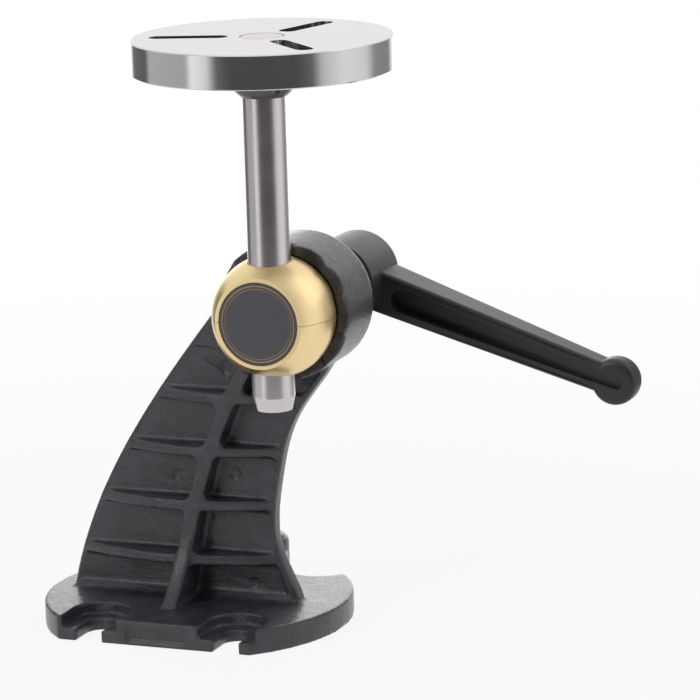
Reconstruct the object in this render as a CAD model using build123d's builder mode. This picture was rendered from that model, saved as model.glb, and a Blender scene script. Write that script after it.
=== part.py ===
from build123d import *
import math
import os

# Carving vise: a cast stand carries a brass ball in a notched cup, the ball
# carries a steel post with a slotted faceplate, and a lever at the back pulls
# a drawbar that locks ball and post together.
# Millimetres. Origin: the middle of the base's underside. +Z up, the ball and
# its badge face -Y, and the ball stands out to +X.

# Base plate
base_radius = 70.4
base_thickness = 11.3
base_flat = 52.5
horn_angle = 42.3
bite_reach = 37.5
bite_floor = 39.5
ear_root_width = 40.0
ear_root_reach = 57.0
ear_radius = 11.5
ear_reach = 78.0
ear_boss_height = 19.0
ear_hole_radius = 5.8
notch_spacing = 66.6
notch_shift = 1.7
notch_set_back = 13.0
bolt_seat_radius = 13.3
bolt_seat_floor = 5.6
bolt_slot_width = 12.0
name_recess_width = 30.0
name_recess_height = 6.4
name_recess_depth = 0.6
name_recess_drop = 3.8

# Ball, cup and head of the casting
ball_reach = 52.0
ball_forward = 25.0
ball_height = 148.0
ball_radius = 27.4
ball_parting = 0.5
bore_chamfer = 0.5
ball_flat = 18.4
seat_clearance = 0.3
head_radius = 31.1
head_set_back = 7.0
head_length = 34.8
head_edge_round = 1.2
rim_notch_radius = 9.6
rim_notch_depth = 4.3
rim_notch_count = 12

# Arm between base and head
web_thickness = 7.0
foot_back_x = -60.6
foot_belly_x = 49.3
foot_spine_x = -2.6
foot_ledge = 3.5
spine_width = 6.8
spine_depth = 25.6
spine_foot_depth = 62.0
spine_flare_height = 45.0
rib_thickness = 4.9
rib_pitch = 25.0
lowest_rib = 30.5
rib_count = 5
bay_border = 1.6
bay_corner = 2.6
arm_sink = 2.0

# Post and faceplate
post_diameter = 19.05
post_length = 165.4
post_forward = 2.9
post_above = 124.2
post_tip_diameter = 16.2
post_tip_length = 6.3
post_fit = 0.1
plate_diameter = 114.3
plate_thickness = 15.0
plate_edge_chamfer = 0.8
plate_fit = 0.05
ring_chamfer = 0.4
boss_diameter = 33.0
boss_neck_diameter = 22.0
boss_cone_length = 3.0
boss_length = 11.0
radial_slot_width = 8.0
radial_slot_inner = 15.0
radial_slot_outer = 49.5
radial_slot_count = 3
radial_slot_angle = 75.7

# Drawbar
drawbar_diameter = 12.7
drawbar_bore_clearance = 0.1
drawbar_engagement = 19.0
drawbar_end_chamfer = 1.2
eye_wall = 2.3
eye_height = 12.7
eye_round = 2.0
eye_post_clearance = 0.95
eye_pocket_clearance = 0.7
eye_tilt_room = 2.4
neck_tilt_room = 4.2
neck_side_room = 0.5

# Badge and dowels in the ball
badge_radius = 18.5
badge_thickness = 1.2
badge_fit = 0.1
badge_chamfer = 0.25
dowel_diameter = 3.0
dowel_length = 10.0
dowel_circle = 20.5

# Lever, nut and their fittings
washer_thickness = 2.0
washer_inset = 0.5
thrust_gap = 0.1
hub_radius = 18.8
hub_end = 83.0
hub_gap = 1.2
hub_end_round = 4.0
hub_nose_round = 1.5
lever_length = 134.0
lever_angle = 18.6
lever_set_back = 14.5
lever_root_height = 19.3
lever_root_width = 20.6
lever_end_height = 13.5
lever_end_width = 11.8
lever_root_start = 15.0
lever_corner = 1.6
lever_rim = 3.9
lever_web = 5.6
lever_pocket_start = 24.0
lever_pocket_end = 121.0
lever_pocket_lean = 5.0
knob_radius = 10.8
knob_width = 15.6
knob_round = 5.6
nut_collar_radius = 14.0
nut_collar_length = 10.0
nut_spline_radius = 11.0
nut_spline_length = 20.0
spline_mesh_length = 6.0
spline_groove_radius = 1.4
spline_count = 16
nut_clearance = 0.3
nut_thread_clearance = 0.05
lever_screw_diameter = 8.0
lever_screw_clearance = 0.4
lever_screw_head_radius = 8.6
lever_screw_head_height = 4.0
lever_screw_engagement = 6.0
hex_key_radius = 3.0
hex_key_depth = 2.6
spring_wire = 1.2
spring_radius = 6.4
spring_quarter_turns = 18
spring_room = 14.0
shoulder_thickness = 4.0
shoulder_gap = 0.3
hub_recess_radius = 9.4

overrun = 1.0

# Places worked out from the sizes above
ball_y = -ball_forward
post_y = ball_y - post_forward
head_front_y = ball_y + head_set_back
head_back_y = head_front_y + head_length
seat_radius = ball_radius + seat_clearance
post_top_z = ball_height + post_above
post_radius = post_diameter / 2
plate_under_z = post_top_z - plate_thickness
drawbar_radius = drawbar_diameter / 2
rim_notch_y = head_front_y + rim_notch_depth - rim_notch_radius
washer_front_y = head_back_y
washer_radius = nut_collar_radius - washer_inset
nut_front_y = head_back_y + washer_thickness + thrust_gap
hub_front_y = head_back_y + hub_gap
collar_end_y = nut_front_y + nut_collar_length
nut_end_y = collar_end_y + nut_spline_length
drawbar_end_y = nut_front_y + drawbar_engagement
shoulder_front_y = nut_end_y + shoulder_gap
shoulder_back_y = shoulder_front_y + shoulder_thickness
screw_head_y = shoulder_back_y + spring_room
lever_plane_y = hub_end - lever_set_back
eye_bore_radius = post_radius + eye_post_clearance
eye_radius = eye_bore_radius + eye_wall
ball_front_y = ball_y - ball_flat
arm_reach = ball_reach + head_radius

# Ends of the arm's three curves at the head, as shares of the head's radius
back_top_share = (-0.99, 0.16)
belly_top_share = (0.527, -0.878)
spine_top_share = (-0.668, -0.909)
# How far each curve leans to +X as it rises, at the foot and at the head
back_lean_share = (0.18, 0.82)
belly_lean_share = (-0.44, 0.82)
spine_lean_share = (0.08, 0.60)
# Inside the head: crown and right edge of two arm sections, height of the first
neck_section_share = (-0.35, 0.62)
top_section_share = (-0.10, 0.55)
neck_height_share = -0.40


def head_point(share):
    """A point by the head, as shares of its radius from its centre."""
    return (ball_reach + share[0] * head_radius, ball_height + share[1] * head_radius)


def arm_curve(foot_x, top, lean_share):
    """Four control points of a curve from the foot up to a point by the head."""
    step = (top[1] - base_thickness) / 3
    return (
        (foot_x, base_thickness),
        (foot_x + step * lean_share[0], base_thickness + step),
        (top[0] - step * lean_share[1], top[1] - step),
        top,
    )


def curve_x(curve, z):
    """X of such a curve at height z: its points rise in equal steps."""
    along = (z - curve[0][1]) / (curve[3][1] - curve[0][1])
    back = 1 - along
    return (
        back**3 * curve[0][0]
        + 3 * back**2 * along * curve[1][0]
        + 3 * back * along**2 * curve[2][0]
        + along**3 * curve[3][0]
    )


back_curve = arm_curve(foot_back_x, head_point(back_top_share), back_lean_share)
belly_curve = arm_curve(foot_belly_x, head_point(belly_top_share), belly_lean_share)
spine_curve = arm_curve(foot_spine_x, head_point(spine_top_share), spine_lean_share)
belly_top_z = belly_curve[3][1]
back_top_z = back_curve[3][1]
neck_z = ball_height + neck_height_share * head_radius
rib_levels = [lowest_rib + k * rib_pitch for k in range(rib_count)]


def lens_section(left, spine, right, z, half_depth):
    """One level section of the arm: thin edges and a crown at the spine."""
    half_web = web_thickness / 2
    with BuildSketch(Plane.XY.offset(z)) as section:
        with BuildLine():
            Line((left, half_web), (left, -half_web))
            ThreePointArc((left, -half_web), (spine, -half_depth), (right, -half_web))
            Line((right, -half_web), (right, half_web))
            ThreePointArc((right, half_web), (spine, half_depth), (left, half_web))
        make_face()
    return section.sketch


# Crown of each section, as shares of the spine's depth, foot first
crown_shares = (0.62, 0.60, 0.53, 0.51, 0.50, 0.49)
head_crown_shares = (0.48, 0.47)
rib_levels_below_head = [level for level in rib_levels if level < belly_top_z - rib_thickness]
section_levels = [base_thickness - arm_sink] + rib_levels_below_head + [belly_top_z]

arm_sections = []
for level, crown_share in zip(section_levels, crown_shares):
    arm_sections.append(
        lens_section(
            curve_x(back_curve, level),
            curve_x(spine_curve, level),
            curve_x(belly_curve, level),
            level,
            crown_share * spine_depth,
        )
    )
head_levels = (neck_z, back_top_z)
head_section_shares = (neck_section_share, top_section_share)
for level, section_share, crown_share in zip(head_levels, head_section_shares, head_crown_shares):
    arm_sections.append(
        lens_section(
            curve_x(back_curve, level),
            ball_reach + section_share[0] * head_radius,
            ball_reach + section_share[1] * head_radius,
            level,
            crown_share * spine_depth,
        )
    )

# The spine: a curved bar that stands proud of the web and flares at the foot
with BuildPart() as arm_spine:
    with BuildSketch(Plane.XZ) as spine_band:
        with BuildLine():
            Bezier(*spine_curve)
        trace(line_width=spine_width)
        with Locations((foot_spine_x, base_thickness - arm_sink / 2)):
            Rectangle(spine_width, arm_sink)
    extrude(amount=spine_foot_depth, both=True)
    with BuildSketch(Plane.YZ.offset(foot_spine_x)) as spine_profile:
        with BuildLine():
            flare_top_z = base_thickness + spine_flare_height
            waist = spine_depth / 2
            foot = spine_foot_depth / 2
            Line((-waist, ball_height), (waist, ball_height))
            Line((waist, ball_height), (waist, flare_top_z))
            TangentArc((waist, flare_top_z), (foot, base_thickness), tangent=(0, -1))
            Line((foot, base_thickness), (foot, base_thickness - arm_sink))
            Line((foot, base_thickness - arm_sink), (-foot, base_thickness - arm_sink))
            Line((-foot, base_thickness - arm_sink), (-foot, base_thickness))
            TangentArc((-waist, flare_top_z), (-foot, base_thickness), tangent=(0, -1))
            Line((-waist, flare_top_z), (-waist, ball_height))
        make_face()
    extrude(amount=base_radius, both=True, mode=Mode.INTERSECT)

# The bays between the ribs, left and right of the spine
with BuildPart() as arm_pockets:
    with BuildSketch(Plane.XZ.offset(web_thickness / 2)) as bays:
        bay_floor = base_thickness
        for level in rib_levels:
            bay_roof = level - rib_thickness / 2
            with Locations((0, (bay_floor + bay_roof) / 2)):
                Rectangle(2 * arm_reach, bay_roof - bay_floor)
            bay_floor = level + rib_thickness / 2
        with BuildLine():
            Bezier(*spine_curve)
        trace(line_width=spine_width, mode=Mode.SUBTRACT)
        with BuildLine():
            Bezier(*belly_curve)
        trace(line_width=2 * bay_border, mode=Mode.SUBTRACT)
    extrude(amount=spine_foot_depth)
    bay_corners = arm_pockets.edges().filter_by(Axis.Y)
    fillet(bay_corners.filter_by_position(Axis.Z, lowest_rib / 2, belly_top_z), radius=bay_corner)
    mirror(about=Plane.XZ)


def facing_back(y):
    """A plane at this Y whose sketches read X and Z, seen from the front."""
    return Plane.XZ.offset(-y)


# The cup that carries the ball, before its seat and notches are cut
with BuildPart() as cup_head:
    with BuildSketch(facing_back(head_front_y)):
        with Locations((ball_reach, ball_height)):
            Circle(head_radius)
    extrude(amount=-head_length)
    head_back_edge = cup_head.edges().filter_by(GeomType.CIRCLE).sort_by(Axis.Y)[-1]
    fillet(head_back_edge, radius=head_edge_round)

with BuildPart() as vise_body:
    # Base: a disc with a flat front, two clamp bites and a bolt ear between them
    with BuildSketch() as base_plan:
        with BuildLine():
            flat_half = math.sqrt(base_radius * base_radius - base_flat * base_flat)
            horn = (
                base_radius * math.cos(math.radians(horn_angle)),
                base_radius * math.sin(math.radians(horn_angle)),
            )
            ear_root = (ear_root_width / 2, ear_root_reach)
            Line((0, -base_flat), (flat_half, -base_flat))
            ThreePointArc((flat_half, -base_flat), (base_radius, 0), horn)
            ThreePointArc(horn, (bite_reach, bite_floor), ear_root)
            Line(ear_root, (ear_radius, ear_reach))
            ThreePointArc((ear_radius, ear_reach), (0, ear_reach + ear_radius), (-ear_radius, ear_reach))
            Line((-ear_radius, ear_reach), (-ear_root[0], ear_root[1]))
            ThreePointArc((-ear_root[0], ear_root[1]), (-bite_reach, bite_floor), (-horn[0], horn[1]))
            ThreePointArc((-horn[0], horn[1]), (-base_radius, 0), (-flat_half, -base_flat))
            Line((-flat_half, -base_flat), (0, -base_flat))
        make_face()
    extrude(amount=base_thickness)
    with BuildSketch():
        with Locations((0, ear_reach)):
            Circle(ear_radius)
    extrude(amount=ear_boss_height)
    loft(sections=arm_sections)
    add(arm_pockets.part, mode=Mode.SUBTRACT)
    add(arm_spine.part)
    add(cup_head.part)
    # A sloped ledge where the arm's thin web meets the base
    with BuildSketch(Plane.XY.offset(base_thickness)):
        with Locations(((foot_back_x + foot_belly_x) / 2, 0)):
            Rectangle(foot_belly_x - foot_back_x, web_thickness + 2 * foot_ledge)
    extrude(amount=foot_ledge, taper=45)
    # Bolt notches open to the front, and the bolt hole in the ear
    with BuildSketch(Plane.XY.offset(bolt_seat_floor)):
        for side in (-1, 1):
            notch_x = notch_shift + side * notch_spacing / 2
            with Locations((notch_x, notch_set_back - base_flat)):
                Circle(bolt_seat_radius)
            with Locations((notch_x, -base_flat)):
                Rectangle(2 * bolt_seat_radius, 2 * notch_set_back)
    extrude(amount=base_thickness - bolt_seat_floor, mode=Mode.SUBTRACT)
    with BuildSketch():
        for side in (-1, 1):
            notch_x = notch_shift + side * notch_spacing / 2
            with Locations((notch_x, notch_set_back - base_flat)):
                Circle(bolt_slot_width / 2)
            with Locations((notch_x, -base_flat)):
                Rectangle(bolt_slot_width, 2 * notch_set_back)
        with Locations((0, ear_reach)):
            Circle(ear_hole_radius)
    extrude(amount=ear_boss_height, mode=Mode.SUBTRACT)
    # Shallow bare recess in the front flat
    with BuildSketch(facing_back(-base_flat)):
        with Locations((notch_shift, base_thickness - name_recess_drop - name_recess_height / 2)):
            Rectangle(name_recess_width, name_recess_height)
    extrude(amount=-name_recess_depth, mode=Mode.SUBTRACT)
    # Round seat, drawbar bore and the ring of notches
    with Locations((ball_reach, ball_y, ball_height)):
        Sphere(seat_radius, mode=Mode.SUBTRACT)
    with BuildSketch(facing_back(head_back_y)):
        with Locations((ball_reach, ball_height)):
            Circle(drawbar_radius + drawbar_bore_clearance)
    extrude(amount=head_length, mode=Mode.SUBTRACT)
    for k in range(rim_notch_count // 2):
        turn = k * 360 / rim_notch_count
        with Locations(Location((ball_reach, rim_notch_y, ball_height), (0, turn, 0))):
            Cylinder(rim_notch_radius, 2 * (head_radius + overrun), mode=Mode.SUBTRACT)


def ball_half(side):
    """One half of the ball: side is 1 above the parting gap and -1 below."""
    with BuildPart() as half:
        with Locations((ball_reach, ball_y, ball_height)):
            Sphere(ball_radius)
        split(
            bisect_by=Plane.XY.offset(ball_height + side * ball_parting / 2),
            keep=Keep.TOP if side > 0 else Keep.BOTTOM,
        )
        split(bisect_by=Plane.XZ.offset(-ball_front_y), keep=Keep.BOTTOM)
        with BuildSketch(facing_back(ball_front_y)):
            with Locations((ball_reach, ball_height)):
                Circle(badge_radius + badge_fit)
        extrude(amount=-badge_thickness, mode=Mode.SUBTRACT)
        with Locations((ball_reach, post_y, ball_height)):
            Cylinder(post_radius + post_fit, 2 * (ball_radius + overrun), mode=Mode.SUBTRACT)
            Cylinder(eye_radius + eye_pocket_clearance, eye_height + 2 * eye_tilt_room, mode=Mode.SUBTRACT)
        with BuildSketch(facing_back(post_y)):
            with Locations((ball_reach, ball_height)):
                Rectangle(drawbar_diameter + 2 * neck_side_room, drawbar_diameter + 2 * neck_tilt_room)
        extrude(amount=-(ball_radius + post_forward), mode=Mode.SUBTRACT)
        for x in (ball_reach - dowel_circle, ball_reach + dowel_circle):
            with Locations((x, ball_y, ball_height)):
                Cylinder(dowel_diameter / 2, dowel_length, mode=Mode.SUBTRACT)
        mouth = half.edges().filter_by(lambda e: e.length > math.pi * post_radius).sort_by(Axis.Z)
        mouth_edge = mouth[-1] if side > 0 else mouth[0]
        chamfer(mouth_edge, length=bore_chamfer)
    return half


ball_upper_half = ball_half(1)
ball_lower_half = ball_half(-1)

with BuildPart() as ball_dowels:
    for x in (ball_reach - dowel_circle, ball_reach + dowel_circle):
        with Locations((x, ball_y, ball_height)):
            Cylinder(dowel_diameter / 2, dowel_length)

with BuildPart() as badge_disc:
    with BuildSketch(facing_back(ball_front_y)):
        with Locations((ball_reach, ball_height)):
            Circle(badge_radius)
    extrude(amount=-badge_thickness)
    chamfer(badge_disc.edges().sort_by(Axis.Y)[0], length=badge_chamfer)

# Drawbar: an eye round the post and a shank through the head
with BuildPart() as drawbar:
    with Locations((ball_reach, post_y, ball_height)):
        Cylinder(eye_radius, eye_height)
    fillet(drawbar.edges().filter_by(GeomType.CIRCLE), radius=eye_round)
    with BuildSketch(facing_back(post_y)):
        with Locations((ball_reach, ball_height)):
            Circle(drawbar_radius)
    extrude(amount=post_y - drawbar_end_y)
    chamfer(drawbar.edges().sort_by(Axis.Y)[-1], length=drawbar_end_chamfer)
    with Locations((ball_reach, post_y, ball_height)):
        Cylinder(eye_bore_radius, 2 * eye_height, mode=Mode.SUBTRACT)

with BuildPart() as thrust_washer:
    with BuildSketch(facing_back(washer_front_y)):
        with Locations((ball_reach, ball_height)):
            Circle(washer_radius)
            Circle(drawbar_radius + drawbar_bore_clearance, mode=Mode.SUBTRACT)
    extrude(amount=-washer_thickness)


def spline_grooves(radius):
    """Places of the round grooves about the lever's axis."""
    return [
        (
            ball_reach + radius * math.cos(2 * math.pi * k / spline_count),
            ball_height + radius * math.sin(2 * math.pi * k / spline_count),
        )
        for k in range(spline_count)
    ]


# Nut: threaded on the drawbar, with grooves that the lever's hub locks into
with BuildPart() as lever_nut:
    with BuildSketch(facing_back(nut_front_y)):
        with Locations((ball_reach, ball_height)):
            Circle(nut_collar_radius)
    extrude(amount=-nut_collar_length)
    with BuildSketch(facing_back(collar_end_y)):
        with Locations((ball_reach, ball_height)):
            Circle(nut_spline_radius)
        with Locations(*spline_grooves(nut_spline_radius)):
            Circle(spline_groove_radius, mode=Mode.SUBTRACT)
    extrude(amount=-nut_spline_length)
    with BuildSketch(facing_back(nut_front_y)):
        with Locations((ball_reach, ball_height)):
            Circle(drawbar_radius + nut_thread_clearance)
    extrude(amount=-(drawbar_engagement + overrun), mode=Mode.SUBTRACT)
    with BuildSketch(facing_back(nut_end_y)):
        with Locations((ball_reach, ball_height)):
            Circle(lever_screw_diameter / 2)
    extrude(amount=lever_screw_engagement, mode=Mode.SUBTRACT)

# The lever's own directions: along the arm, and square to it
lever_turn = math.radians(lever_angle)
lever_along = Vector(math.cos(lever_turn), 0, -math.sin(lever_turn))
lever_origin = Vector(ball_reach, lever_plane_y, ball_height)


def lever_plane(distance):
    """The plane square to the arm at a distance from the hub's axis."""
    return Plane(origin=lever_origin + lever_along * distance, x_dir=(0, 1, 0), z_dir=lever_along)


lever_side = Plane(origin=lever_origin, x_dir=lever_along, z_dir=(0, -1, 0))


def lever_half_height(distance):
    """Half the arm's height at a distance from the hub's axis."""
    share = (distance - lever_root_start) / (lever_length - lever_root_start)
    return (lever_root_height + (lever_end_height - lever_root_height) * share) / 2


with BuildPart() as lever_knob:
    with BuildSketch(lever_side.offset(-knob_width / 2)):
        with Locations((lever_length, 0)):
            Circle(knob_radius)
    extrude(amount=knob_width)
    fillet(lever_knob.edges().filter_by(GeomType.CIRCLE), radius=knob_round)

# Lever: a hub over the nut, a channelled arm and a round end
with BuildPart() as lever_handle:
    with BuildSketch(facing_back(hub_front_y)):
        with Locations((ball_reach, ball_height)):
            Circle(hub_radius)
    extrude(amount=hub_front_y - hub_end)
    hub_edges = lever_handle.edges().filter_by(GeomType.CIRCLE).sort_by(Axis.Y)
    fillet(hub_edges[-1], radius=hub_end_round)
    fillet(lever_handle.edges().filter_by(GeomType.CIRCLE).sort_by(Axis.Y)[0], radius=hub_nose_round)
    with BuildSketch(lever_plane(lever_root_start)) as arm_root:
        RectangleRounded(lever_root_width, lever_root_height, lever_corner)
    with BuildSketch(lever_plane(lever_length)) as arm_end:
        RectangleRounded(lever_end_width, lever_end_height, lever_corner)
    loft()
    add(lever_knob.part)
    for side in (-1, 1):
        with BuildSketch(lever_side.offset(side * lever_web / 2)):
            with BuildLine():
                start_half = lever_half_height(lever_pocket_start) - lever_rim
                end_half = lever_half_height(lever_pocket_end) - lever_rim
                start_bend = lever_pocket_start + start_half
                end_top = lever_pocket_end + lever_pocket_lean
                Line((start_bend, start_half), (end_top, end_half))
                Line((end_top, end_half), (lever_pocket_end, -end_half))
                Line((lever_pocket_end, -end_half), (start_bend, -start_half))
                ThreePointArc((start_bend, -start_half), (lever_pocket_start, 0), (start_bend, start_half))
            make_face()
        extrude(amount=side * lever_root_width, mode=Mode.SUBTRACT)
    # Inside the hub: room for the collar, smooth bore, grooved bore, shoulder
    with BuildSketch(facing_back(hub_front_y)):
        with Locations((ball_reach, ball_height)):
            Circle(nut_collar_radius + nut_clearance)
    extrude(amount=hub_front_y - (collar_end_y + overrun), mode=Mode.SUBTRACT)
    with BuildSketch(facing_back(collar_end_y)):
        with Locations((ball_reach, ball_height)):
            Circle(nut_spline_radius + nut_clearance)
    extrude(amount=collar_end_y - shoulder_front_y, mode=Mode.SUBTRACT)
    with BuildSketch(facing_back(hub_end)):
        with Locations((ball_reach, ball_height)):
            Circle(hub_recess_radius)
    extrude(amount=hub_end - shoulder_back_y, mode=Mode.SUBTRACT)
    with BuildSketch(facing_back(shoulder_front_y)):
        with Locations((ball_reach, ball_height)):
            Circle(lever_screw_diameter / 2 + lever_screw_clearance)
    extrude(amount=-shoulder_thickness, mode=Mode.SUBTRACT)
    # The ribs that sit in the nut's grooves
    with BuildSketch(facing_back(nut_end_y)):
        with Locations(*spline_grooves(nut_spline_radius)):
            Circle(spline_groove_radius - nut_clearance)
    extrude(amount=spline_mesh_length)

with BuildPart() as lever_screw:
    with BuildSketch(facing_back(screw_head_y)):
        with Locations((ball_reach, ball_height)):
            Circle(lever_screw_head_radius)
    extrude(amount=-lever_screw_head_height)
    with BuildSketch(facing_back(screw_head_y)):
        with Locations((ball_reach, ball_height)):
            Circle(lever_screw_diameter / 2)
    extrude(amount=screw_head_y - nut_end_y + lever_screw_engagement)
    with BuildSketch(facing_back(screw_head_y + lever_screw_head_height)):
        with Locations((ball_reach, ball_height)):
            RegularPolygon(hex_key_radius, 6)
    extrude(amount=hex_key_depth, mode=Mode.SUBTRACT)


# The spring's rise in each quarter turn
spring_rise = (spring_room - spring_wire) / spring_quarter_turns


def coil_point(quarters):
    """A point on the middle of the spring's wire after so many quarter turns."""
    turn = math.pi / 2 * quarters
    return Vector(
        ball_reach + spring_radius * math.cos(turn),
        shoulder_back_y + spring_wire / 2 + spring_rise * quarters,
        ball_height + spring_radius * math.sin(turn),
    )


def coil_direction(quarters):
    """The wire's direction at that point."""
    turn = math.pi / 2 * quarters
    sideways = math.pi / 2 * spring_radius
    return Vector(-sideways * math.sin(turn), spring_rise, sideways * math.cos(turn)).normalized()


# Spring: each quarter turn is two arcs that meet with a shared tangent
with BuildPart() as lever_spring:
    with BuildLine() as spring_line:
        for quarter in range(spring_quarter_turns):
            start, end = coil_point(quarter), coil_point(quarter + 1)
            leaving, arriving = coil_direction(quarter), coil_direction(quarter + 1)
            chord = end - start
            spread = 2 * (1 - leaving.dot(arriving))
            run = chord.dot(leaving + arriving)
            reach = (math.sqrt(run * run + spread * chord.dot(chord)) - run) / spread
            first_corner = start + leaving * reach
            second_corner = end - arriving * reach
            meeting = (first_corner + second_corner) * 0.5
            TangentArc(start, meeting, tangent=leaving)
            TangentArc(meeting, end, tangent=(second_corner - first_corner).normalized())
    with BuildSketch(Plane(origin=coil_point(0), z_dir=coil_direction(0))):
        Circle(spring_wire / 2)
    sweep()

# The post and the plate are turned about the post's axis
post_profile_plane = Plane(origin=(ball_reach, post_y, 0), x_dir=(1, 0, 0), z_dir=(0, -1, 0))
post_axis = Axis((ball_reach, post_y, 0), (0, 0, 1))

with BuildPart() as work_post:
    with BuildSketch(post_profile_plane):
        with BuildLine():
            Polyline(
                (0, post_top_z),
                (post_radius - ring_chamfer, post_top_z),
                (post_radius, post_top_z - ring_chamfer),
                (post_radius, post_top_z - post_length + post_tip_length),
                (post_tip_diameter / 2, post_top_z - post_length),
                (0, post_top_z - post_length),
                (0, post_top_z),
            )
        make_face()
    revolve(axis=post_axis)

with BuildPart() as faceplate:
    with BuildSketch(post_profile_plane):
        plate_radius = plate_diameter / 2
        bore_radius = post_radius + plate_fit
        with BuildLine():
            Polyline(
                (bore_radius + ring_chamfer, post_top_z),
                (plate_radius - plate_edge_chamfer, post_top_z),
                (plate_radius, post_top_z - plate_edge_chamfer),
                (plate_radius, plate_under_z + plate_edge_chamfer),
                (plate_radius - plate_edge_chamfer, plate_under_z),
                (boss_diameter / 2, plate_under_z),
                (boss_diameter / 2, plate_under_z - boss_length + boss_cone_length),
                (boss_neck_diameter / 2, plate_under_z - boss_length),
                (bore_radius, plate_under_z - boss_length),
                (bore_radius, post_top_z - ring_chamfer),
                (bore_radius + ring_chamfer, post_top_z),
            )
        make_face()
    revolve(axis=post_axis)
    with BuildSketch(Plane(origin=(ball_reach, post_y, post_top_z))):
        slot_middle = (radial_slot_inner + radial_slot_outer) / 2
        with PolarLocations(slot_middle, radial_slot_count, start_angle=radial_slot_angle):
            SlotOverall(radial_slot_outer - radial_slot_inner, radial_slot_width)
    extrude(amount=-(plate_thickness + boss_length), mode=Mode.SUBTRACT)

os.makedirs("parts", exist_ok=True)
vise_body.part.label = "vise_body"
export_step(vise_body.part, "parts/vise_body.step")
thrust_washer.part.label = "thrust_washer"
export_step(thrust_washer.part, "parts/thrust_washer.step")
drawbar.part.label = "drawbar"
export_step(drawbar.part, "parts/drawbar.step")
ball_upper_half.part.label = "ball_upper_half"
export_step(ball_upper_half.part, "parts/ball_upper_half.step")
ball_lower_half.part.label = "ball_lower_half"
export_step(ball_lower_half.part, "parts/ball_lower_half.step")
ball_dowels.part.label = "ball_dowels"
export_step(ball_dowels.part, "parts/ball_dowels.step")
badge_disc.part.label = "badge_disc"
export_step(badge_disc.part, "parts/badge_disc.step")
work_post.part.label = "work_post"
export_step(work_post.part, "parts/work_post.step")
faceplate.part.label = "faceplate"
export_step(faceplate.part, "parts/faceplate.step")
lever_nut.part.label = "lever_nut"
export_step(lever_nut.part, "parts/lever_nut.step")
lever_handle.part.label = "lever_handle"
export_step(lever_handle.part, "parts/lever_handle.step")
lever_spring.part.label = "lever_spring"
export_step(lever_spring.part, "parts/lever_spring.step")
lever_screw.part.label = "lever_screw"
export_step(lever_screw.part, "parts/lever_screw.step")
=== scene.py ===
# %% [markdown]
# # A carving vise
# A black casting holds a brass ball in a notched cup. A steel post slides
# through the ball and carries a steel plate, and a lever at the back locks
# both. Every piece is already modelled at its real size, so this lesson is
# about what the eye sees: how each surface was made, and how light meets it.

# %% Load the vise
import math

import bmesh
import bpy
import numpy as np
from mathutils import Matrix, Vector


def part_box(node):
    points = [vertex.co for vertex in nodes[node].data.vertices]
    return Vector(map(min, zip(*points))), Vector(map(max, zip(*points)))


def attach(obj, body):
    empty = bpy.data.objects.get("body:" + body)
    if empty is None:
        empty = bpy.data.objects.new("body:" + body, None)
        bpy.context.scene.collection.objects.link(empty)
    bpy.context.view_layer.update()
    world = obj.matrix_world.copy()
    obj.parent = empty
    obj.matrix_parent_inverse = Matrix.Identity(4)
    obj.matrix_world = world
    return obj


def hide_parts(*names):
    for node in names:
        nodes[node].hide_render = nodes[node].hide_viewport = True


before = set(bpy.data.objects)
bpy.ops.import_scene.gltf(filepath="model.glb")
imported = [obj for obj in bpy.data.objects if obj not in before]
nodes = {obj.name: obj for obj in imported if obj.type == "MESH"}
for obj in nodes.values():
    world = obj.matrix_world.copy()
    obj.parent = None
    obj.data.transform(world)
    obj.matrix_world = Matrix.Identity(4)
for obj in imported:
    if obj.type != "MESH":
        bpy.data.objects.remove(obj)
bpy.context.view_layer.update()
print("nodes:", ", ".join(sorted(nodes)))

# %% [markdown]
# ## Where the pieces are
# The post and the plate are round about one upright axis. The badge and the
# lever's hub are round about axes that run to the back. Tool marks follow
# these axes, so they are read from the model instead of typed.

# %% Axes of the round pieces
MM = 0.001


def middle(name):
    """The middle of a node's box, in metres."""
    low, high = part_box(name)
    return (Vector(low) + Vector(high)) / 2


plate_axis = middle("work_post")
hub_axis = middle("thrust_washer")
badge_centre = middle("badge_disc")
print("post", [round(v, 4) for v in plate_axis], "hub", [round(v, 4) for v in hub_axis])

# %% [markdown]
# ## Camera
# The vise is seen from slightly to the right of the front and a little
# above, through a long lens, which keeps the plate's ellipse and the base's
# ellipse almost alike. Position and turn are written out, so that the frame
# never depends on what is in the scene.

# %% Which way the camera looks
VIEW_AZIMUTH = math.radians(21.83)
VIEW_PITCH = math.radians(12.52)
VIEW_ROLL = math.radians(-1.69)

forward = Vector(
    (
        -math.sin(VIEW_AZIMUTH) * math.cos(VIEW_PITCH),
        math.cos(VIEW_AZIMUTH) * math.cos(VIEW_PITCH),
        -math.sin(VIEW_PITCH),
    )
)
level_right = Vector((math.cos(VIEW_AZIMUTH), math.sin(VIEW_AZIMUTH), 0))
level_up = level_right.cross(forward)
right = level_right * math.cos(VIEW_ROLL) + level_up * math.sin(VIEW_ROLL)
up = level_up * math.cos(VIEW_ROLL) - level_right * math.sin(VIEW_ROLL)
view_turn = Matrix((right, up, -forward)).transposed().to_4x4()
print("looks along", [round(v, 3) for v in forward])

# %% Camera
CAMERA_PLACE = Vector((736.6, -1645.4, 522.2)) * MM
LENS_MM = 210.66
SENSOR_MM = 36.0
SEES_TO = 20  # metres

lens = bpy.data.cameras.new("camera")
lens.lens = LENS_MM
lens.sensor_width = SENSOR_MM
lens.clip_end = SEES_TO
camera = bpy.data.objects.new("camera", lens)
camera.matrix_world = Matrix.Translation(CAMERA_PLACE) @ view_turn
bpy.context.scene.collection.objects.link(camera)
bpy.context.scene.camera = camera
bpy.context.scene.view_settings.view_transform = "Standard"
print("camera", round((CAMERA_PLACE - middle("ball_upper_half")).length, 3), "m from the ball")

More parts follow.
